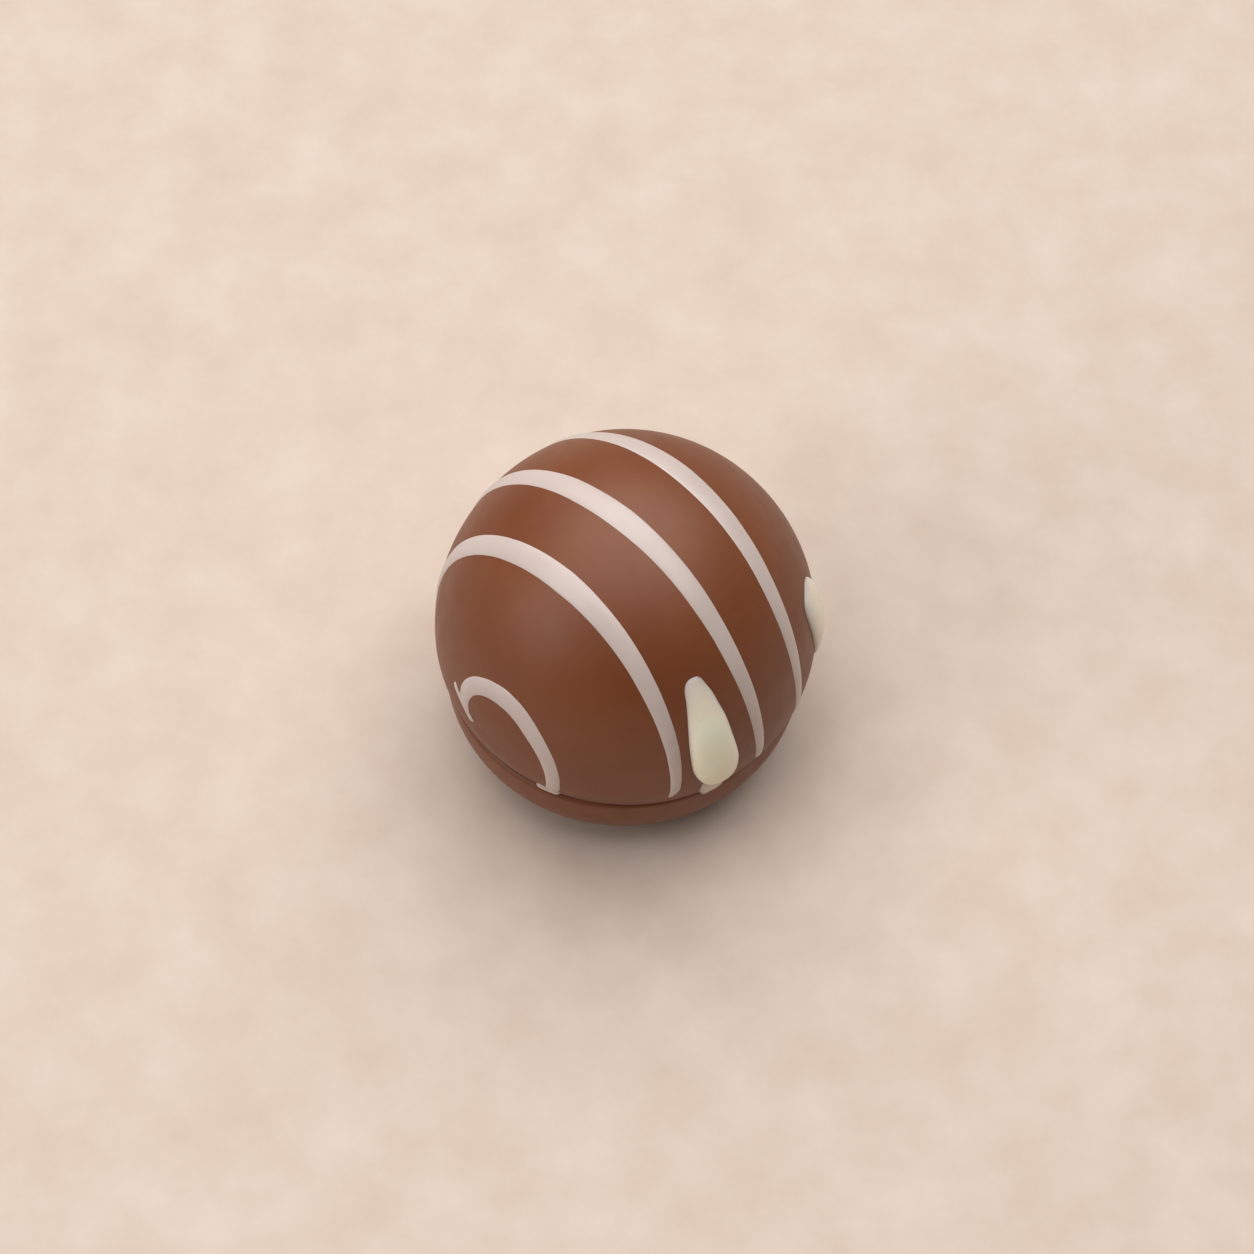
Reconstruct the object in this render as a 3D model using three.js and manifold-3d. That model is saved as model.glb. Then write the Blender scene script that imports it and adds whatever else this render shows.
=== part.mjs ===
// Praline marshmallow: a ball of milk chocolate, drizzled with four white stripes that end at its
// low seam, with two cream drops that ran down its side and set.
//
// Millimetres and degrees. +Z is up, -Y is the shown side, +X is to the right of it.
// The origin is the middle of the small flat spot that the ball rests on.
// Azimuths turn in plan from +X towards +Y, so that the shown side is at -90.

import * as THREE from 'three';
import { mergeVertices } from 'three/addons/utils/BufferGeometryUtils.js';
import Module from 'manifold-3d';

// The coated ball is a shell over a foot, with heights taken from its widest level.
const BALL_RADIUS = 14.0;
const CROWN_HEIGHT = 14.9;
const SHELL_EDGE_RADIUS = 13.12;
const FOOT_RADIUS = 13.35;
const FOOT_DROP = 5.05;
const REST_DROP = 12.2;
const REST_RADIUS = 5.0;

// The seam between them, whose two edges are rounded over. Shell and foot don't quite meet: the
// shell's edge lies a little to the right and the foot a little to the left.
const SEAM_DROP = 3.5;
const SEAM_GROOVE = 0.07;
const SEAM_GAP = 0.04;
const EDGE_ROUND = 0.42;
const SHELL_EDGE_SHIFT = 0.21;
const FOOT_SHIFT = -0.14;

// The white stripes are drizzled side by side, so they share the direction that they face.
// `lie` is the angle from that direction to the stripe at the crown, `drift` and `bow` are how
// far the stripe strays from it for each radian along its run, and `hook` bends it further once it
// is HOOK_START past the crown on its way down the front. `crown`, `front` and `back` are its
// widths over the crown and at its ends. It ends at the seam, or by `frontShort` degrees sooner at
// its near and far edge, and the last one at its back by `backTurns`. Over a length of STRIPE_TAPER
// an end narrows to STRIPE_END_WIDTH of its width.
const STRIPE_AZIMUTH = -132;
const STRIPE_LEAN = 8.5;
const STRIPE_HEIGHT = 0.17;
const STRIPE_TAPER = 0.9;
const STRIPE_END_WIDTH = 0.7;
const HOOK_START = -0.6;
const STRIPES = [
  { crown: 2.1, front: 0.85, back: 1.4, lie: 105.5, drift: 2.1, bow: -2.3, hook: 9.9 },
  { crown: 1.9, front: 0.8, back: 1.4, lie: 80.4, drift: 0.3, bow: 0, hook: 6.1, frontShort: [2.5, 1.5] },
  { crown: 1.85, front: 0.8, back: 1.3, lie: 56.9, drift: 1.3, bow: -1.5, hook: 5.8, frontShort: [3, 10] },
  { crown: 1.9, front: 1.25, back: 1.1, lie: 16.1, drift: 0.25, bow: -0.8, hook: 5, backTurns: [200, 187] },
];

// The cream drops. `top` and `bottom` are elevations from the middle of the ball, `swing` is how
// far the azimuth turns on the way down, `fullest` is the share of the length at the widest point.
// A lower DROP_ROUNDNESS makes the ends blunter, a higher DROP_DOME draws the height to the middle.
const DROP_ROUNDNESS = 0.6;
const DROP_DOME = 1.4;
const DROP_TRIM = 0.01;
const DROPS = [
  { azimuth: -64.5, swing: 2.5, top: 41.1, bottom: -7, halfWidth: 1.85, thickness: 0.95, fullest: 0.68 },
  { azimuth: -63, swing: -2, top: -2, bottom: -13.5, halfWidth: 0.8, thickness: 0.4, fullest: 0.4 },
  { azimuth: -2.5, swing: -1.5, top: 25, bottom: -6.5, halfWidth: 2, thickness: 0.72, fullest: 0.55 },
];

// How finely the surfaces are cut, how close points are joined and how near a search ends.
const ROUND_STEPS = 64;
const DOME_STEPS = 18;
const SKIRT_STEPS = 4;
const FOOT_STEPS = 8;
const STRIPE_STEPS = 40;
const DROP_STEPS = 14;
const EDGE_STEPS = 2;
const SAME_POINT = 1e-4;
const SEARCH_END = 1e-5;

const wasm = await Module();
wasm.setup();

const radians = THREE.MathUtils.degToRad;

// ---- The ball's own surface ----

// Radius of the shell at height z, which tucks in a little below the widest level.
function shellRadius(z) {
  if (z >= 0) {
    return BALL_RADIUS * Math.sqrt(Math.max(0, 1 - (z / CROWN_HEIGHT) ** 2));
  }
  return BALL_RADIUS - (BALL_RADIUS - SHELL_EDGE_RADIUS) * (z / SEAM_DROP) ** 2;
}

// How far the shell lies to the right at height z: nothing above its widest level.
function shellShift(z) {
  return SHELL_EDGE_SHIFT * (Math.min(z, 0) / SEAM_DROP) ** 2;
}

// The point of the shell in a direction from the middle of the ball, lifted along that direction.
function onShell(direction, lift) {
  let inner = 0.5 * BALL_RADIUS;
  let outer = 1.5 * BALL_RADIUS;
  while (outer - inner > SEARCH_END) {
    const middle = (inner + outer) / 2;
    const z = direction.z * middle;
    const x = direction.x * middle - shellShift(z);
    const inside = z < CROWN_HEIGHT && Math.hypot(x, direction.y * middle) < shellRadius(z);
    if (inside) {
      inner = middle;
    } else {
      outer = middle;
    }
  }
  return direction.clone().multiplyScalar(inner + lift);
}

// A point of a round of the given radius about a centre, with the turn taken up from level.
function roundPoint(centreRadius, centreHeight, radius, height, turn) {
  return new THREE.Vector2(
    centreRadius + radius * Math.cos(turn),
    centreHeight + height * Math.sin(turn),
  );
}

// Half outline of the ball from the rest spot to the crown, as radius and height.
function ballOutline() {
  const quarter = Math.PI / 2;
  const outline = [new THREE.Vector2(0, -REST_DROP)];
  for (let i = 0; i <= FOOT_STEPS; i += 1) {
    const turn = quarter * (i / FOOT_STEPS - 1);
    outline.push(roundPoint(
      REST_RADIUS,
      -FOOT_DROP,
      FOOT_RADIUS - REST_RADIUS,
      REST_DROP - FOOT_DROP,
      turn,
    ));
  }
  const footEdge = -SEAM_DROP - SEAM_GAP / 2 - EDGE_ROUND;
  for (let i = 0; i <= EDGE_STEPS; i += 1) {
    const turn = quarter * (i / EDGE_STEPS);
    outline.push(roundPoint(FOOT_RADIUS - EDGE_ROUND, footEdge, EDGE_ROUND, EDGE_ROUND, turn));
  }
  outline.push(new THREE.Vector2(SHELL_EDGE_RADIUS - EDGE_ROUND - SEAM_GROOVE, -SEAM_DROP));
  const shellEdge = -SEAM_DROP + SEAM_GAP / 2 + EDGE_ROUND;
  const shellEdgeRadius = shellRadius(shellEdge) - EDGE_ROUND;
  for (let i = 0; i <= EDGE_STEPS; i += 1) {
    const turn = quarter * (i / EDGE_STEPS - 1);
    outline.push(roundPoint(shellEdgeRadius, shellEdge, EDGE_ROUND, EDGE_ROUND, turn));
  }
  for (let i = 1; i < SKIRT_STEPS; i += 1) {
    const z = shellEdge * (1 - i / SKIRT_STEPS);
    outline.push(new THREE.Vector2(shellRadius(z), z));
  }
  for (let i = 0; i < DOME_STEPS; i += 1) {
    outline.push(roundPoint(0, 0, BALL_RADIUS, CROWN_HEIGHT, quarter * (i / DOME_STEPS)));
  }
  outline.push(new THREE.Vector2(0, CROWN_HEIGHT));
  return outline;
}

function ballGeometry() {
  const geometry = new THREE.LatheGeometry(ballOutline(), ROUND_STEPS);
  geometry.rotateX(Math.PI / 2);
  const position = geometry.attributes.position;
  for (let i = 0; i < position.count; i += 1) {
    const z = position.getZ(i);
    const shift = z < -SEAM_DROP ? FOOT_SHIFT : shellShift(z);
    position.setX(i, position.getX(i) + shift);
  }
  return geometry;
}

// ---- Beads laid on the ball: stripes and drops ----

// Across a bead: places from edge to edge over its top, then back underneath.
const TOP_PLACES = [-1, -0.66, -0.25, 0.25, 0.66, 1];
const UNDER_PLACES = [0.75, -0.75];
const EDGE_SINK = 0.06;
const UNDER_SINK = 0.6;

// A closed bead. `directionAt(s, side)` says where it lies, for s from 0 to 1 along it and side
// from -1 to 1 across it, and `heightAt(s)` how proud its middle stands.
function beadGeometry(steps, directionAt, heightAt) {
  const around = TOP_PLACES.length + UNDER_PLACES.length;
  const vertices = [];
  const triangles = [];
  for (let i = 0; i <= steps; i += 1) {
    const s = i / steps;
    for (const side of TOP_PLACES) {
      const lift = heightAt(s) * Math.sqrt(1 - side * side) - EDGE_SINK;
      vertices.push(...onShell(directionAt(s, side), lift).toArray());
    }
    for (const side of UNDER_PLACES) {
      vertices.push(...onShell(directionAt(s, side), -UNDER_SINK).toArray());
    }
  }
  for (let i = 0; i < steps; i += 1) {
    for (let j = 0; j < around; j += 1) {
      const here = i * around + j;
      const beside = i * around + ((j + 1) % around);
      triangles.push(here, beside, here + around, beside, beside + around, here + around);
    }
  }
  const last = steps * around;
  for (let j = 1; j < around - 1; j += 1) {
    triangles.push(0, j + 1, j);
    triangles.push(last, last + j, last + j + 1);
  }
  const geometry = new THREE.BufferGeometry();
  geometry.setAttribute('position', new THREE.Float32BufferAttribute(vertices, 3));
  geometry.setIndex(triangles);
  return geometry;
}

// The frame of the drizzle: the way the stripes face, the level way along them and the way up.
function drizzleFrame() {
  const azimuth = radians(STRIPE_AZIMUTH);
  const lean = radians(STRIPE_LEAN);
  const facing = new THREE.Vector3(
    Math.cos(azimuth) * Math.cos(lean),
    Math.sin(azimuth) * Math.cos(lean),
    Math.sin(lean),
  );
  const level = new THREE.Vector3(-Math.sin(azimuth), Math.cos(azimuth), 0);
  const upward = new THREE.Vector3().crossVectors(facing, level);
  return { facing, level, upward };
}

// Width of a stripe: full over the crown, less towards the turn at which it ends.
function stripeWidth(stripe, turn, ends) {
  const quarter = Math.PI / 2;
  const [end, endWidth] = turn < quarter ? [ends.front, stripe.front] : [ends.back, stripe.back];
  return stripe.crown + (endWidth - stripe.crown) * ((turn - quarter) / (end - quarter));
}

// Direction from the middle of the ball to a stripe, `aside` mm beside its centre line.
function stripeDirection(stripe, turn, aside) {
  const { facing, level, upward } = drizzleFrame();
  const stray = turn - Math.PI / 2;
  const past = Math.min(0, stray - HOOK_START);
  const angle = radians(
    stripe.lie + stripe.drift * stray + stripe.bow * stray ** 2 + stripe.hook * past ** 2,
  ) + aside / BALL_RADIUS;
  return facing.clone().multiplyScalar(Math.cos(angle))
    .addScaledVector(level, Math.sin(angle) * Math.cos(turn))
    .addScaledVector(upward, Math.sin(angle) * Math.sin(turn));
}

// The turn at which a line beside the stripe's middle meets the seam, down one way from the crown.
function turnAtSeam(stripe, way, aside) {
  let above = Math.PI / 2;
  let below = Math.PI / 2 + way * Math.PI;
  while (Math.abs(below - above) > SEARCH_END) {
    const middle = (above + below) / 2;
    const point = onShell(stripeDirection(stripe, middle, aside), 0);
    if (point.z > -SEAM_DROP + EDGE_ROUND) {
      above = middle;
    } else {
      below = middle;
    }
  }
  return (above + below) / 2;
}

function stripeGeometry(stripe) {
  const { frontShort = [0, 0], backTurns } = stripe;
  const edges = [-1, 1];
  const front = edges.map((side, i) => (
    turnAtSeam(stripe, -1, side * stripe.front / 2) + radians(frontShort[i])
  ));
  const back = edges.map((side, i) => (
    backTurns ? radians(backTurns[i]) : turnAtSeam(stripe, 1, side * stripe.back / 2)
  ));
  const ends = { front: (front[0] + front[1]) / 2, back: (back[0] + back[1]) / 2 };
  const runLength = (ends.back - ends.front) * BALL_RADIUS * Math.sin(radians(stripe.lie));
  const fullness = (s) => {
    const toEnd = Math.min(s, 1 - s) * runLength;
    const share = Math.min(1, toEnd / STRIPE_TAPER);
    return STRIPE_END_WIDTH + (1 - STRIPE_END_WIDTH) * Math.sqrt(share * (2 - share));
  };
  const directionAt = (s, side) => {
    const start = ends.front + side * (front[1] - front[0]) / 2;
    const end = ends.back + side * (back[1] - back[0]) / 2;
    const turn = start + (end - start) * s;
    const halfWidth = fullness(s) * stripeWidth(stripe, turn, ends) / 2;
    return stripeDirection(stripe, turn, side * halfWidth);
  };
  const heightAt = (s) => EDGE_SINK + STRIPE_HEIGHT * fullness(s);
  return beadGeometry(STRIPE_STEPS, directionAt, heightAt);
}

function dropGeometry(drop) {
  const swell = Math.log(0.5) / Math.log(drop.fullest);
  const fullness = (s) => {
    const kept = DROP_TRIM + (1 - 2 * DROP_TRIM) * s;
    return Math.sin(Math.PI * kept ** swell) ** DROP_ROUNDNESS;
  };
  const directionAt = (s, side) => {
    const elevation = radians(drop.top + (drop.bottom - drop.top) * s);
    const sideways = side * drop.halfWidth * fullness(s) / (BALL_RADIUS * Math.cos(elevation));
    const azimuth = radians(drop.azimuth + drop.swing * s) - sideways;
    return new THREE.Vector3(
      Math.cos(elevation) * Math.cos(azimuth),
      Math.cos(elevation) * Math.sin(azimuth),
      Math.sin(elevation),
    );
  };
  const heightAt = (s) => EDGE_SINK + drop.thickness * fullness(s) ** DROP_DOME;
  return beadGeometry(DROP_STEPS, directionAt, heightAt);
}

// ---- Joining into one solid ----

function toSolid(geometry) {
  const bare = geometry.clone();
  bare.deleteAttribute('normal');
  bare.deleteAttribute('uv');
  const merged = mergeVertices(bare, SAME_POINT);
  const index = merged.index.array;
  const triangles = [];
  for (let i = 0; i < index.length; i += 3) {
    const [a, b, c] = [index[i], index[i + 1], index[i + 2]];
    if (a !== b && b !== c && c !== a) {
      triangles.push(a, b, c);
    }
  }
  return new wasm.Manifold(new wasm.Mesh({
    numProp: 3,
    vertProperties: new Float32Array(merged.attributes.position.array),
    triVerts: new Uint32Array(triangles),
  }));
}

function toGeometry(solid) {
  const mesh = solid.getMesh();
  const geometry = new THREE.BufferGeometry();
  geometry.setAttribute('position', new THREE.BufferAttribute(mesh.vertProperties, 3));
  geometry.setIndex(new THREE.BufferAttribute(mesh.triVerts, 1));
  geometry.computeVertexNormals();
  return geometry;
}

function pralineGeometry() {
  let solid = toSolid(ballGeometry());
  for (const stripe of STRIPES) {
    solid = solid.add(toSolid(stripeGeometry(stripe)));
  }
  for (const drop of DROPS) {
    solid = solid.add(toSolid(dropGeometry(drop)));
  }
  return toGeometry(solid);
}

const milkChocolate = new THREE.MeshStandardMaterial({
  name: 'milk_chocolate',
  color: 0x774930,
  roughness: 0.42,
  metalness: 0,
});

const praline = new THREE.Mesh(pralineGeometry(), milkChocolate);
praline.name = 'praline';
praline.position.z = REST_DROP;

const part = new THREE.Group();
part.add(praline);

export default part;
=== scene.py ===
import math

import bmesh
import bpy
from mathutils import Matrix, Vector, noise
from mathutils.bvhtree import BVHTree


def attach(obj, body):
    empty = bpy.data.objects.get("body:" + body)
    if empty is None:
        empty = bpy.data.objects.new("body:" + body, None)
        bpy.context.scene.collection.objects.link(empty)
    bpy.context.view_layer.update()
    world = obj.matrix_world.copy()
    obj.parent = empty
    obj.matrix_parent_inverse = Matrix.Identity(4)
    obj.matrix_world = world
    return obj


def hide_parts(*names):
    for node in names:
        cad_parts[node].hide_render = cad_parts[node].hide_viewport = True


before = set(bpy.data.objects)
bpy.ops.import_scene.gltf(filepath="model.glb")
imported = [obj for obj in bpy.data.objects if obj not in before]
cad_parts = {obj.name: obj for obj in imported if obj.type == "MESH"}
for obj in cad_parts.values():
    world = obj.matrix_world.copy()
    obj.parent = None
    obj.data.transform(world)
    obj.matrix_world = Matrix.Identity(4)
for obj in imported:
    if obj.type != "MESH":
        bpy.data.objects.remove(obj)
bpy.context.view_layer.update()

# ---- The coated ball ----
# A soft filling coated in milk chocolate: a shell over a foot, with a fine seam low down where the
# two halves of the coat met. It was cast in a polished mould, so the gloss is even, but the wall
# is not quite round and the edge of the shell is a little ragged.

MM = 0.001

ball_radius = 14.0 * MM
crown_height = 14.9 * MM
shell_edge_radius = 13.12 * MM
shell_edge_shift = 0.21 * MM
foot_radius = 13.33 * MM
foot_drop = 5.05 * MM
foot_shift = -0.14 * MM
rest_drop = 12.2 * MM
rest_radius = 5.0 * MM
seam_drop = 3.5 * MM
seam_groove = 0.07 * MM
seam_gap = 0.04 * MM
edge_round = 0.42 * MM

unevenness = 0.05 * MM
unevenness_across = 9.0 * MM
raggedness = 0.07 * MM
raggedness_along = 2.2 * MM
flat_spot_depth = 0.12 * MM
flat_spot = Vector((-0.80, 0.52, 0.30)).normalized()
flat_spot_spread = math.radians(24)

steps_around = 288
foot_steps = 34
edge_steps = 7
skirt_steps = 14
dome_steps = 84

ball_middle = Vector((0, 0, rest_drop))
quarter_turn = math.pi / 2


def shell_radius(height):
    """Radius of the shell at a height above its widest level."""
    if height >= 0:
        return ball_radius * math.sqrt(max(0, 1 - (height / crown_height) ** 2))
    return ball_radius - (ball_radius - shell_edge_radius) * (height / seam_drop) ** 2


def rounding(centre_radius, centre_height, radius, height, start, end, steps):
    """Points on a round between two turns, both taken up from level."""
    turns = [start + (end - start) * i / steps for i in range(steps + 1)]
    return [
        (centre_radius + radius * math.cos(turn), centre_height + height * math.sin(turn))
        for turn in turns
    ]


def ball_outline():
    """Half outline of the ball, from the edge of its rest spot to just under the crown."""
    foot_edge = -seam_drop - seam_gap / 2 - edge_round
    shell_edge = -seam_drop + seam_gap / 2 + edge_round
    edge_middle = shell_radius(shell_edge) - edge_round
    foot_wall = rounding(
        rest_radius, -foot_drop, foot_radius - rest_radius, rest_drop - foot_drop,
        -quarter_turn, 0, foot_steps,
    )
    foot_lip = rounding(
        foot_radius - edge_round, foot_edge, edge_round, edge_round, 0, quarter_turn, edge_steps
    )
    groove = [(edge_middle - seam_groove, -seam_drop)]
    shell_lip = rounding(
        edge_middle, shell_edge, edge_round, edge_round, -quarter_turn, 0, edge_steps
    )
    heights = [shell_edge * (1 - i / skirt_steps) for i in range(1, skirt_steps)]
    skirt = [(shell_radius(height), height) for height in heights]
    dome = rounding(0, 0, ball_radius, crown_height, 0, quarter_turn, dome_steps)
    return foot_wall + foot_lip + groove + shell_lip + skirt + dome[:-1]


def worn(point, height):
    """A point of the perfect ball, moved to where the cast one has it."""
    outward = point.normalized()
    swell = noise.noise(point / unevenness_across, noise_basis="PERLIN_ORIGINAL")
    moved = point - outward * unevenness * (0.5 + 0.5 * swell)
    off_spot = outward.angle(flat_spot)
    moved -= outward * flat_spot_depth * math.exp(-((off_spot / flat_spot_spread) ** 2))
    near_seam = math.exp(-(((height + seam_drop) / (2 * edge_round)) ** 2))
    along = Vector((point.x, point.y, 0)) / raggedness_along
    moved.z += raggedness * near_seam * noise.noise(along, noise_basis="PERLIN_ORIGINAL")
    return moved


def ball_mesh():
    """The ball as rings about Z, with its rest spot and crown closed by one point each."""
    outline = ball_outline()
    points = [Vector((foot_shift, 0, 0))]
    for radius, height in outline:
        for i in range(steps_around):
            azimuth = 2 * math.pi * i / steps_around
            level = Vector((radius * math.cos(azimuth), radius * math.sin(azimuth), height))
            resting = height <= -rest_drop
            if not resting:
                level = worn(level, height)
            if height < -seam_drop:
                level.x += foot_shift
            elif height < 0:
                level.x += shell_edge_shift * (height / seam_drop) ** 2
            points.append(level + ball_middle)
    crown = worn(Vector((0, 0, crown_height)), crown_height)
    points.append(crown + ball_middle)
    faces = [(0, 1 + (i + 1) % steps_around, 1 + i) for i in range(steps_around)]
    for ring in range(len(outline) - 1):
        low = 1 + ring * steps_around
        high = low + steps_around
        for i in range(steps_around):
            beside = (i + 1) % steps_around
            faces.append((low + i, low + beside, high + beside, high + i))
    top = 1 + (len(outline) - 1) * steps_around
    last = len(points) - 1
    faces += [(top + i, top + (i + 1) % steps_around, last) for i in range(steps_around)]
    mesh = bpy.data.meshes.new("chocolate_ball")
    mesh.from_pydata(points, [], faces)
    mesh.shade_smooth()
    return mesh


def feed(tree, socket, value):
    """Sets a socket to a number or a colour, or links another node's output to it."""
    if isinstance(value, bpy.types.NodeSocket):
        tree.links.new(value, socket)
    else:
        socket.default_value = value


def node_maker(tree):
    """A function that adds nodes to one tree."""
    def add(kind, inputs=None, **settings):
        """A node of that kind, with its settings made and its inputs fed."""
        made = tree.nodes.new(kind)
        for setting, value in settings.items():
            setattr(made, setting, value)
        for socket, value in (inputs or {}).items():
            feed(tree, made.inputs[socket], value)
        return made

    return add


def paint(name):
    """A new material, and the makers of what varies over it."""
    material = bpy.data.materials.new(name)
    material.use_nodes = True
    tree = material.node_tree
    shader = tree.nodes["Principled BSDF"]
    add = node_maker(tree)

    def blend(share, first, second):
        """A mix of two colours by a share from 0 to 1; the node numbers its colour sockets."""
        return add("ShaderNodeMix", {0: share, 6: first, 7: second}, data_type="RGBA").outputs[2]

    def spread(value, low, high, to_low=0.0, to_high=1.0):
        """A value brought from one range to another, and held within it."""
        ranged = add("ShaderNodeMapRange", {
            "Value": value, "From Min": low, "From Max": high, "To Min": to_low, "To Max": to_high,
        })
        return ranged.outputs["Result"]

    def mottle(scale, detail, roughness, distortion=0.0):
        """Noise from 0 to 1, in the piece's own place; its scale is in patches a metre."""
        place = add("ShaderNodeTexCoord").outputs["Object"]
        return add("ShaderNodeTexNoise", {
            "Vector": place, "Scale": scale, "Detail": detail, "Roughness": roughness,
            "Distortion": distortion,
        }).outputs["Fac"]

    def relief(height, strength, depth, under=None):
        """Fine relief in the gloss, over any relief that is already there."""
        bump = add("ShaderNodeBump", {"Height": height, "Strength": strength, "Distance": depth})
        if under is not None:
            feed(tree, bump.inputs["Normal"], under)
        return bump.outputs["Normal"]

    def drive(socket, value):
        """Feeds one of the shader's own sockets."""
        feed(tree, shader.inputs[socket], value)

    return material, add, blend, spread, mottle, relief, drive


def chocolate():
    """Cast milk chocolate: warm brown, a little cloudy, satin, with a few crumbs of dust."""
    material, add, blend, spread, mottle, relief, drive = paint("milk_chocolate")
    clouds = mottle(110.0, 3.0, 0.55)
    grain = mottle(2600.0, 2.0, 0.6)
    swirls = mottle(260.0, 2.0, 0.5, 1.6)
    deep = (0.162, 0.0425, 0.0132, 1.0)
    pale = (0.198, 0.0590, 0.0200, 1.0)
    milky = (0.232, 0.0780, 0.0310, 1.0)
    dusty = (0.55, 0.40, 0.29, 1.0)
    colour = blend(spread(clouds, 0.30, 0.70), deep, pale)
    colour = blend(spread(swirls, 0.60, 0.80, 0.0, 0.22), colour, milky)
    colour = blend(spread(grain, 0.35, 0.65, 0.0, 0.10), colour, deep)
    place = add("ShaderNodeTexCoord").outputs["Object"]
    dust = add("ShaderNodeTexVoronoi", {"Vector": place, "Scale": 210.0, "Randomness": 1.0})
    chosen = spread(dust.outputs["Color"], 0.62, 0.66)
    crumb = spread(dust.outputs["Distance"], 0.016, 0.011)
    speck = add("ShaderNodeMath", {0: crumb, 1: chosen}, operation="MULTIPLY").outputs[0]
    colour = blend(spread(speck, 0.0, 1.0, 0.0, 0.7), colour, dusty)
    drive("Base Color", colour)
    drive("Roughness", spread(swirls, 0.25, 0.75, 0.42, 0.52))
    drive("IOR", 1.50)
    drive("Specular Tint", (1.0, 0.90, 0.82, 1.0))
    drive("Normal", relief(grain, 0.06, 0.1 * MM, relief(clouds, 0.05, 1.0 * MM)))
    return material


def keep(name, mesh, material):
    """A finished piece of the sweet, which all rides on its one body."""
    piece = bpy.data.objects.new(name, mesh)
    bpy.context.scene.collection.objects.link(piece)
    mesh.materials.clear()
    mesh.materials.append(material)
    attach(piece, "root")
    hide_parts("praline")
    return piece


chocolate_ball = keep("chocolate_ball", ball_mesh(), chocolate())

# ---- The white stripes ----
# White chocolate, drizzled in four parallel threads over the shell, where it set nearly flush and
# ends at the seam or just above it. Geometry Nodes lay each thread: its centre line strays a little
# from an arc about the way the drizzle faces, and its skin follows the ball.

stripe_azimuth = -132
stripe_lean = 8.5
stripe_height = 0.17 * MM
stripe_taper = 0.45 * MM
stripe_sink = 0.06 * MM
stripe_depth = 0.5 * MM
stripe_wander = 0.08 * MM
stripe_swell = 0.10
stripe_stop = 0.1 * MM

# Each thread: its widths (mm) over the crown and at its two ends, then its centre line as an angle
# from the facing direction (degrees): where it lies over the crown, its drift and bow for each
# radian of its run, and its hook, which bends it away as it comes down the front. Short says how
# many degrees before the seam its near and its far edge end at the front.
stripes = {
    "white_stripe_1": dict(
        crown=2.1, front=0.85, back=1.4, lie=105.5, drift=2.1, bow=-2.3, hook=9.9, short=(0.0, 0.0)
    ),
    "white_stripe_2": dict(
        crown=1.9, front=0.8, back=1.4, lie=80.4, drift=0.3, bow=0.0, hook=6.1, short=(4.5, 1.5)
    ),
    "white_stripe_3": dict(
        crown=1.85, front=0.8, back=1.3, lie=56.9, drift=1.3, bow=-1.5, hook=5.8, short=(5.0, 11.0)
    ),
    "white_stripe_4": dict(
        crown=1.9, front=1.25, back=1.1, lie=16.1, drift=0.25, bow=-0.8, hook=5.0, short=(0.0, 0.0)
    ),
}

# The hook starts that many radians before the crown. The fourth thread curls along the seam at the
# back, so there its near and its far edge end at set turns (degrees).
hook_start = -0.6
curled_back_end = {"white_stripe_4": (200.0, 187.0)}

# Where the fourth thread meets the seam, a little of it crept along the edge of the shell: from one
# azimuth and elevation to another (degrees), with its width and height (mm).
creeps = {
    "white_creep_right": dict(ends=((-118.5, -10.5), (-110.5, -12.0)), width=1.0, height=0.3),
    "white_creep_left": dict(ends=((-153.0, 10.5), (-141.5, 3.5)), width=0.4, height=0.2),
}

thread_sides = 25
thread_steps = 420
creep_steps = 60
crest_sharpness = 1.25
end_width = 0.7
wander_scale = 2.6
swell_scale = 3.4
merge_within = 0.0001 * MM


def way_at(azimuth, elevation):
    """Unit direction from the ball's middle, for an azimuth and elevation in degrees."""
    turn, lift = math.radians(azimuth), math.radians(elevation)
    level = math.cos(lift)
    return Vector((level * math.cos(turn), level * math.sin(turn), math.sin(lift)))


facing = way_at(stripe_azimuth, stripe_lean)
level_way = Vector((0, 0, 1)).cross(facing).normalized()
upward_way = facing.cross(level_way)


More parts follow.
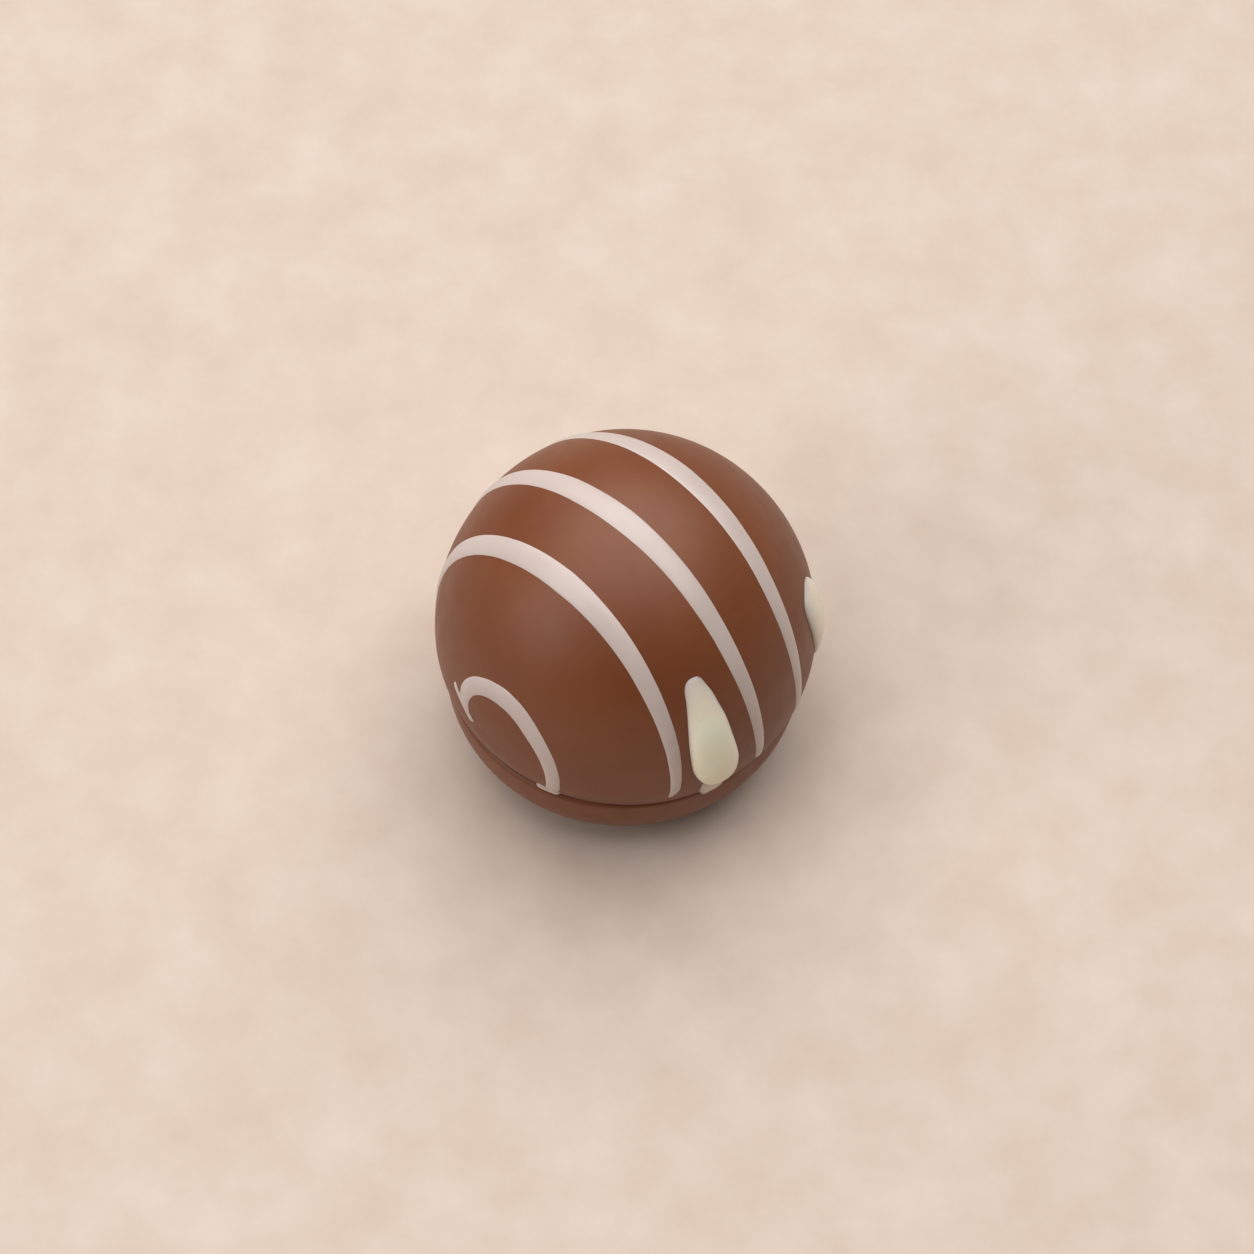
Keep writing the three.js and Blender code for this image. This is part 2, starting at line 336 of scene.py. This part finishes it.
def thread_tree():
    """The node tree that lays one thread of drizzle on a ball."""
    tree = bpy.data.node_groups.new("drizzled_thread", "GeometryNodeTree")
    tree.interface.new_socket("Geometry", in_out="INPUT", socket_type="NodeSocketGeometry")
    kinds = {
        "Ball": "Object", "Middle": "Vector", "Facing": "Vector", "Level": "Vector",
        "Upward": "Vector", "Lie": "Float", "Drift": "Float", "Bow": "Float", "Hook": "Float",
        "Hook Start": "Float", "Front Turn": "Float", "Front Slant": "Float",
        "Back Turn": "Float", "Back Slant": "Float", "Crown Width": "Float",
        "Front Width": "Float", "Back Width": "Float", "Height": "Float", "Taper": "Float",
        "Sink": "Float", "Depth": "Float", "Wander": "Float", "Swell": "Float",
        "Radius": "Float", "Seed": "Float", "Steps": "Int", "Sides": "Int", "Finish": "Material",
    }
    for name, kind in kinds.items():
        tree.interface.new_socket(name, in_out="INPUT", socket_type="NodeSocket" + kind)
    tree.interface.new_socket("Geometry", in_out="OUTPUT", socket_type="NodeSocketGeometry")
    add = node_maker(tree)

    def work(operation, *values):
        """A sum on numbers."""
        return add("ShaderNodeMath", dict(enumerate(values)), operation=operation).outputs[0]

    def vector(operation, *values):
        """A sum on vectors."""
        return add("ShaderNodeVectorMath", dict(enumerate(values)), operation=operation).outputs[0]

    def times(direction, amount):
        """A direction made that long."""
        inputs = {0: direction, "Scale": amount}
        return add("ShaderNodeVectorMath", inputs, operation="SCALE").outputs[0]

    def straying(scale, detail, **place):
        """Noise about 0 that changes along the thread."""
        spot = add("ShaderNodeCombineXYZ", place).outputs[0]
        noisy = add("ShaderNodeTexNoise", {"Vector": spot, "Scale": scale, "Detail": detail})
        return work("SUBTRACT", noisy.outputs["Fac"], 0.5)

    # A sheet, rolled up so that its faces turn outward.
    given = add("NodeGroupInput").outputs
    sheet = add("GeometryNodeMeshGrid", {
        "Size X": 1.0, "Size Y": 1.0, "Vertices X": given["Sides"], "Vertices Y": given["Steps"],
    })
    place = add("ShaderNodeSeparateXYZ", {0: add("GeometryNodeInputPosition").outputs[0]}).outputs
    along = work("ADD", place["Y"], 0.5)
    round_turn = work("MULTIPLY", place["X"], -2 * math.pi)
    across = work("COSINE", round_turn)
    over = work("SINE", round_turn)

    # Where along the arc, with each end slanted across the thread.
    front = work("ADD", given["Front Turn"], work("MULTIPLY", given["Front Slant"], across))
    back = work("ADD", given["Back Turn"], work("MULTIPLY", given["Back Slant"], across))
    turn = work("ADD", front, work("MULTIPLY", work("SUBTRACT", back, front), along))
    stray = work("SUBTRACT", turn, quarter_turn)

    # How full the thread is: whole along its run, rounded off at the ends.
    run = work("SUBTRACT", given["Back Turn"], given["Front Turn"])
    run = work("MULTIPLY", run, given["Radius"])
    run = work("MULTIPLY", run, work("SINE", given["Lie"]))
    to_end = work("MULTIPLY", work("MINIMUM", along, work("SUBTRACT", 1.0, along)), run)
    share = work("MINIMUM", work("DIVIDE", to_end, given["Taper"]), 1.0)
    rounded = work("SQRT", work("MULTIPLY", share, work("SUBTRACT", 2.0, share)))

    # How wide it is: narrower to its ends, each edge swelling by itself.
    wobble = straying(wander_scale, 2.0, X=turn, Y=given["Seed"], Z=0.0)
    swell = straying(swell_scale, 3.0, X=turn, Y=given["Seed"], Z=work("SIGN", across))
    swell = work("MULTIPLY", swell, given["Swell"])
    forward = work("DIVIDE", work("SUBTRACT", quarter_turn, turn),
                   work("SUBTRACT", quarter_turn, given["Front Turn"]))
    backward = work("DIVIDE", work("SUBTRACT", turn, quarter_turn),
                    work("SUBTRACT", given["Back Turn"], quarter_turn))
    half_width = work("MULTIPLY", given["Crown Width"], 0.5)
    for part, width in ((forward, given["Front Width"]), (backward, given["Back Width"])):
        less = work("MULTIPLY", work("SUBTRACT", given["Crown Width"], width), 0.5)
        less = work("MULTIPLY", less, work("MAXIMUM", part, 0.0))
        half_width = work("SUBTRACT", half_width, less)
    half_width = work("MULTIPLY", half_width, work("ADD", 1.0, swell))
    drawn_in = work("ADD", work("MULTIPLY", rounded, 1 - end_width), end_width)
    half_width = work("MULTIPLY", half_width, drawn_in)

    # The angle from the facing direction, and so the direction from the ball's middle.
    bowed = work("MULTIPLY", given["Bow"], work("MULTIPLY", stray, stray))
    past = work("MINIMUM", work("SUBTRACT", stray, given["Hook Start"]), 0.0)
    bowed = work("ADD", bowed, work("MULTIPLY", given["Hook"], work("MULTIPLY", past, past)))
    angle = work("ADD", given["Lie"], work("ADD", work("MULTIPLY", given["Drift"], stray), bowed))
    sideways = work("MULTIPLY", wobble, given["Wander"])
    sideways = work("ADD", work("MULTIPLY", across, half_width), sideways)
    angle = work("ADD", angle, work("DIVIDE", sideways, given["Radius"]))
    ring_way = vector("ADD", times(given["Level"], work("COSINE", turn)),
                      times(given["Upward"], work("SINE", turn)))
    direction = vector("ADD", times(given["Facing"], work("COSINE", angle)),
                       times(ring_way, work("SINE", angle)))
    direction = vector("NORMALIZE", direction)

    # Onto the ball's own skin, then proud of it over the top and sunk in underneath.
    ball = add("GeometryNodeObjectInfo", {"Object": given["Ball"]}).outputs["Geometry"]
    reach = work("MULTIPLY", given["Radius"], 2.0)
    start = vector("ADD", given["Middle"], times(direction, reach))
    onto = add("GeometryNodeRaycast", {
        "Target Geometry": ball, "Source Position": start,
        "Ray Direction": times(direction, -1.0), "Ray Length": reach,
    })
    crest = work("POWER", work("MAXIMUM", over, 0.0), crest_sharpness)
    proud = work("MULTIPLY", given["Height"], crest)
    under = work("MULTIPLY", given["Depth"], work("MINIMUM", over, 0.0))
    lift = work("SUBTRACT", work("MULTIPLY", work("ADD", proud, under), rounded), given["Sink"])
    skin = vector("ADD", onto.outputs["Hit Position"], times(direction, lift))
    laid = add("GeometryNodeSetPosition", {"Geometry": sheet.outputs["Mesh"], "Position": skin})
    marked = add("GeometryNodeStoreNamedAttribute", {
        "Geometry": laid.outputs[0], "Name": "edge", "Value": work("ABSOLUTE", across),
    }, data_type="FLOAT", domain="POINT")
    closed = add("GeometryNodeMergeByDistance", {
        "Geometry": marked.outputs[0], "Distance": merge_within,
    })
    smooth = add("GeometryNodeSetShadeSmooth", {
        "Geometry": closed.outputs[0], "Shade Smooth": True,
    })
    real = add("GeometryNodeRealizeInstances", {"Geometry": smooth.outputs[0]})
    finished = add("GeometryNodeSetMaterial", {
        "Geometry": real.outputs[0], "Material": given["Finish"],
    })
    add("NodeGroupOutput", {"Geometry": finished.outputs[0]})
    return tree


def white_chocolate():
    """White chocolate: creamy white, waxy, thinner and browner where its edge feathers out."""
    material, add, blend, spread, mottle, relief, drive = paint("white_chocolate")
    edge = add("ShaderNodeAttribute", attribute_name="edge").outputs["Fac"]
    clouds = mottle(320.0, 3.0, 0.5)
    grain = mottle(3200.0, 2.0, 0.6)
    dull = (0.780, 0.745, 0.722, 1.0)
    bright = (0.865, 0.842, 0.828, 1.0)
    thin = (0.420, 0.270, 0.210, 1.0)
    colour = blend(spread(clouds, 0.3, 0.7), dull, bright)
    colour = blend(spread(edge, 0.83, 1.0, 0.0, 0.6), colour, thin)
    drive("Base Color", colour)
    drive("Roughness", spread(clouds, 0.25, 0.75, 0.31, 0.41))
    drive("IOR", 1.46)
    drive("Subsurface Weight", 0.06)
    drive("Subsurface Radius", (1.0, 0.75, 0.5))
    drive("Subsurface Scale", 0.2 * MM)
    drive("Normal", relief(grain, 0.08, 0.1 * MM))
    return material


def way_of(thread, turn, aside):
    """Direction from the ball's middle to a thread: its centre line (0) or one edge (-1 or 1)."""
    stray = turn - quarter_turn
    past = min(0, stray - hook_start)
    bend = thread["bow"] * stray ** 2 + thread["hook"] * past ** 2
    angle = math.radians(thread["lie"] + thread["drift"] * stray + bend)
    width = thread["front"] if stray < 0 else thread["back"]
    angle += aside * width / 2 * MM / ball_radius
    ring_way = level_way * math.cos(turn) + upward_way * math.sin(turn)
    return facing * math.cos(angle) + ring_way * math.sin(angle)


def turn_at_seam(thread, side, aside):
    """The turn at which a thread comes down to the seam, to the front (-1) or the back (1)."""
    near_enough = 1e-5
    stop = -seam_drop + edge_round + stripe_stop
    above = quarter_turn
    below = quarter_turn + side * math.pi
    while abs(below - above) > near_enough:
        middle = (above + below) / 2
        way = way_of(thread, middle, aside)
        shift = shell_edge_shift * way.x / math.hypot(way.x, way.y)
        if way.z / math.hypot(way.x, way.y) > stop / (shell_radius(stop) + shift):
            above = middle
        else:
            below = middle
    return (above + below) / 2


def lay_thread(name, tree, finish, seed, **values):
    """Runs the tree for one thread and keeps what it makes as a plain mesh."""
    maker = bpy.data.objects.new(name + "_maker", bpy.data.meshes.new(name + "_maker"))
    bpy.context.scene.collection.objects.link(maker)
    modifier = maker.modifiers.new("thread", "NODES")
    modifier.node_group = tree
    inputs = {
        "Ball": chocolate_ball, "Middle": ball_middle, "Taper": stripe_taper,
        "Sink": stripe_sink, "Depth": stripe_depth, "Wander": stripe_wander,
        "Swell": stripe_swell, "Radius": ball_radius, "Seed": seed, "Sides": thread_sides,
        "Finish": finish,
    }
    inputs.update({key.replace("_", " ").title(): value for key, value in values.items()})
    for socket in tree.interface.items_tree:
        if socket.item_type == "SOCKET" and socket.name in inputs:
            modifier[socket.identifier] = inputs[socket.name]
    ready = maker.evaluated_get(bpy.context.evaluated_depsgraph_get())
    mesh = bpy.data.meshes.new_from_object(ready)
    mesh.name = name
    bpy.data.objects.remove(maker)
    keep(name, mesh, finish)


thread_finish = white_chocolate()
threads = thread_tree()
for number, (name, thread) in enumerate(stripes.items(), start=1):
    front_near, front_far = (
        turn_at_seam(thread, -1, aside) + math.radians(short)
        for aside, short in zip((-1, 1), thread["short"])
    )
    if name in curled_back_end:
        back_near, back_far = (math.radians(turn) for turn in curled_back_end[name])
    else:
        back_near, back_far = (turn_at_seam(thread, 1, aside) for aside in (-1, 1))
    lay_thread(
        name, threads, thread_finish, 3.7 * number, steps=thread_steps,
        facing=facing, level=level_way, upward=upward_way,
        lie=math.radians(thread["lie"]), drift=math.radians(thread["drift"]),
        bow=math.radians(thread["bow"]), hook=math.radians(thread["hook"]), hook_start=hook_start,
        front_turn=(front_near + front_far) / 2, front_slant=(front_far - front_near) / 2,
        back_turn=(back_near + back_far) / 2, back_slant=(back_far - back_near) / 2,
        crown_width=thread["crown"] * MM, front_width=thread["front"] * MM,
        back_width=thread["back"] * MM, height=stripe_height,
    )
for number, (name, creep) in enumerate(creeps.items(), start=1):
    start, end = (way_at(*place) for place in creep["ends"])
    pole = start.cross(end).normalized()
    width = creep["width"] * MM
    lay_thread(
        name, threads, thread_finish, 0.9 * number, steps=creep_steps,
        facing=pole, level=start, upward=pole.cross(start),
        lie=quarter_turn, drift=0.0, bow=0.0, hook=0.0, hook_start=0.0,
        front_turn=0.0, front_slant=0.0, back_turn=start.angle(end), back_slant=0.0,
        crown_width=width, front_width=width, back_width=width, height=creep["height"] * MM,
    )

# ---- The cream drops ----
# Two thick drops of cream-coloured chocolate that fell on the side, ran down and set with a blunt
# top and a full, rounded foot. The front one has a thinner second lobe that crept out under it.

# Each drop: azimuth and elevation of its top, its thickness (mm), then marks down its length: how
# far down (mm), and how far its left and its right edge lie to the right of that azimuth (mm).
drops = {
    "cream_drop_front": dict(
        azimuth=-63.5, top=41.1, thickness=0.95,
        outline=[(0.0, -0.15, -0.15), (0.05, -0.42, 0.1), (0.15, -0.62, 0.25), (0.35, -0.82, 0.4),
                 (0.86, -1.02, 0.6), (1.7, -1.13, 0.9), (2.8, -1.29, 1.16), (3.9, -1.45, 1.43),
                 (5.9, -1.63, 1.72), (8.2, -1.57, 2.04), (9.2, -1.34, 2.04), (10.1, -1.0, 1.93),
                 (10.9, -0.6, 1.6), (11.4, -0.3, 1.15), (11.7, -0.08, 0.7), (11.83, 0.2, 0.2)],
    ),
    "cream_drop_lobe": dict(
        azimuth=-65.0, top=-1.0, thickness=0.4,
        outline=[(0.0, 0.3, 0.3), (0.3, -0.2, 1.0), (0.8, -0.45, 1.4), (1.7, -0.5, 1.45),
                 (2.6, -0.45, 1.25), (3.4, -0.25, 0.95), (3.9, 0.0, 0.6), (4.1, 0.25, 0.25)],
    ),
    "cream_drop_side": dict(
        azimuth=-1.0, top=25.0, thickness=0.66,
        outline=[(0.0, -0.4, -0.4), (0.12, -1.0, 0.3), (0.35, -1.6, 0.75), (0.8, -2.0, 1.1),
                 (1.6, -2.25, 1.35), (3.5, -2.4, 1.5), (5.3, -2.3, 1.3), (6.4, -2.05, 0.75),
                 (7.1, -1.75, 0.0), (7.45, -1.5, -0.5), (7.6, -1.1, -1.1)],
    ),
}
drop_rows = 72
drop_sides = 40
drop_sink = 0.05 * MM
drop_depth = 0.6 * MM
drop_fullness = 1.3
drop_roundness = 0.9
drop_thinning = 0.4
drop_merge = 0.002 * MM


def eased(marks, length, column):
    """A smooth curve through one column of the outline's marks."""
    for here, there in zip(marks, marks[1:]):
        if length <= there[0]:
            share = (length - here[0]) / (there[0] - here[0])
            break
    place = marks.index(here)
    before = marks[max(place - 1, 0)]
    after = marks[min(place + 2, len(marks) - 1)]
    span = there[0] - here[0]
    leave = span * (there[column] - before[column]) / (there[0] - before[0])
    arrive = span * (after[column] - here[column]) / (after[0] - here[0])
    rise = there[column] - here[column]
    return (
        here[column] + leave * share + (3 * rise - 2 * leave - arrive) * share ** 2
        + (leave + arrive - 2 * rise) * share ** 3
    )


def drop_mesh(name, drop, skin):
    """A closed bead with that outline, laid on the ball and sunk a little into it."""
    marks = drop["outline"]
    length = marks[-1][0]
    widest = max(right - left for _, left, right in marks)
    points = []
    faces = []
    depths = []
    for i in range(drop_rows + 1):
        down = length * (1 - math.cos(math.pi * i / drop_rows)) / 2
        left = eased(marks, down, 1)
        right = max(left, eased(marks, down, 2))
        full = (right - left) / widest
        elevation = drop["top"] - math.degrees(down * MM / ball_radius)
        level_radius = ball_radius * math.cos(math.radians(elevation))
        for j in range(drop_sides):
            turn = 2 * math.pi * j / drop_sides
            reach = ((right + left) / 2 - (right - left) / 2 * math.cos(turn)) * MM
            way = way_at(drop["azimuth"] + math.degrees(reach / level_radius), elevation)
            hit = skin.ray_cast(ball_middle + way * 2 * ball_radius, -way)[0]
            over = math.sin(turn)
            if over > 0:
                lift = drop["thickness"] * MM * full ** drop_fullness * over ** drop_roundness
            else:
                lift = drop_depth * full * over
            points.append(hit + way * (lift - drop_sink))
            depths.append(max(0.0, over) ** drop_thinning * full * drop["thickness"])
    for i in range(drop_rows):
        for j in range(drop_sides):
            beside = (j + 1) % drop_sides
            low, high = i * drop_sides, (i + 1) * drop_sides
            faces.append((low + j, high + j, high + beside, low + beside))
    mesh = bpy.data.meshes.new(name)
    mesh.from_pydata(points, [], faces)
    mesh.attributes.new("fullness", "FLOAT", "POINT").data.foreach_set("value", depths)
    return mesh


def close_up(mesh):
    """Merges the points that fell together at a bead's two ends, and turns its faces outward."""
    work = bmesh.new()
    work.from_mesh(mesh)
    bmesh.ops.remove_doubles(work, verts=work.verts, dist=drop_merge)
    bmesh.ops.recalc_face_normals(work, faces=work.faces)
    work.to_mesh(mesh)
    work.free()
    mesh.shade_smooth()
    return mesh


def cream():
    """Cream-coloured chocolate: yellowish and waxy, greyer where it is thin over the brown."""
    material, add, blend, spread, mottle, relief, drive = paint("cream")
    full = add("ShaderNodeAttribute", attribute_name="fullness").outputs["Fac"]
    clouds = mottle(420.0, 3.0, 0.5)
    grain = mottle(3200.0, 2.0, 0.6)
    dull = (0.975, 0.868, 0.650, 1.0)
    bright = (0.995, 0.918, 0.750, 1.0)
    thin = (0.420, 0.340, 0.325, 1.0)
    thick = blend(spread(clouds, 0.3, 0.7), dull, bright)
    drive("Base Color", blend(spread(full, 0.1, 0.7), thin, thick))
    drive("Roughness", spread(clouds, 0.25, 0.75, 0.30, 0.42))
    drive("IOR", 1.46)
    drive("Subsurface Weight", 0.8)
    drive("Subsurface Radius", (1.0, 0.95, 0.85))
    drive("Subsurface Scale", 0.9 * MM)
    drive("Normal", relief(grain, 0.06, 0.1 * MM))
    return material


ball_skin = BVHTree.FromPolygons(
    [vertex.co for vertex in chocolate_ball.data.vertices],
    [tuple(face.vertices) for face in chocolate_ball.data.polygons],
)
cream_finish = cream()
for name, drop in drops.items():
    keep(name, close_up(drop_mesh(name, drop, ball_skin)), cream_finish)

# ---- Floor, light and camera ----
# A plain floor of pale stone, a wide soft light overhead, a smaller one low on the left, and a
# faint sky. The camera looks down on the sweet from the front.

floor_reach = 1.5
floor_corners = [
    (-floor_reach, -floor_reach, 0), (floor_reach, -floor_reach, 0),
    (floor_reach, floor_reach, 0), (-floor_reach, floor_reach, 0),
]
floor_mesh = bpy.data.meshes.new("floor")
floor_mesh.from_pydata(floor_corners, [], [(0, 1, 2, 3)])
floor = bpy.data.objects.new("floor", floor_mesh)
bpy.context.scene.collection.objects.link(floor)


def pale_stone():
    """Plain pale stone, barely mottled."""
    material, _, blend, spread, mottle, _, drive = paint("floor_stone")
    dull = (0.596, 0.470, 0.385, 1.0)
    bright = (0.668, 0.546, 0.455, 1.0)
    drive("Base Color", blend(spread(mottle(160.0, 6.0, 0.6), 0.3, 0.7), dull, bright))
    drive("Roughness", 0.85)
    return material


floor_mesh.materials.append(pale_stone())

# Each light: how far up and round it stands (degrees), its distance and size (m) and power (W).
lights = {
    "soft_overhead": dict(elevation=72, azimuth=85, distance=0.5, size=0.78, power=5.0),
    "soft_left": dict(elevation=33, azimuth=204, distance=0.5, size=0.34, power=0.9),
}
for name, settings in lights.items():
    light_way = way_at(settings["azimuth"], settings["elevation"])
    light_data = bpy.data.lights.new(name, "AREA")
    light_data.shape = "SQUARE"
    light_data.size = settings["size"]
    light_data.energy = settings["power"]
    light = bpy.data.objects.new(name, light_data)
    light.location = ball_middle + light_way * settings["distance"]
    light.rotation_euler = light_way.to_track_quat("Z", "Y").to_euler()
    bpy.context.scene.collection.objects.link(light)

sky_strength = 0.03
sky = bpy.data.worlds.new("sky")
sky.use_nodes = True
sky.node_tree.nodes["Background"].inputs["Color"].default_value = (1.0, 1.0, 1.0, 1.0)
sky.node_tree.nodes["Background"].inputs["Strength"].default_value = sky_strength
bpy.context.scene.world = sky
bpy.context.scene.view_settings.view_transform = "Standard"

camera_elevation = math.radians(60)
camera_distance = 240 * MM
nearest_seen = 10 * MM
sensor_width = 36.0
frame_width = 92.11 * MM
aim_height = rest_drop - 0.42 * MM
right_of_aim = 0.107 * MM
above_aim = -0.044 * MM

camera_data = bpy.data.cameras.new("camera")
camera_data.sensor_fit = "HORIZONTAL"
camera_data.sensor_width = sensor_width
camera_data.lens = sensor_width * camera_distance / frame_width
camera_data.clip_start = nearest_seen
camera = bpy.data.objects.new("camera", camera_data)
back_way = Vector((0, -math.cos(camera_elevation), math.sin(camera_elevation)))
up_way = Vector((0, math.sin(camera_elevation), math.cos(camera_elevation)))
aim = Vector((right_of_aim, 0, aim_height)) + up_way * above_aim
camera.location = aim + back_way * camera_distance
camera.rotation_euler = (quarter_turn - camera_elevation, 0, 0)
bpy.context.scene.collection.objects.link(camera)
bpy.context.scene.camera = camera
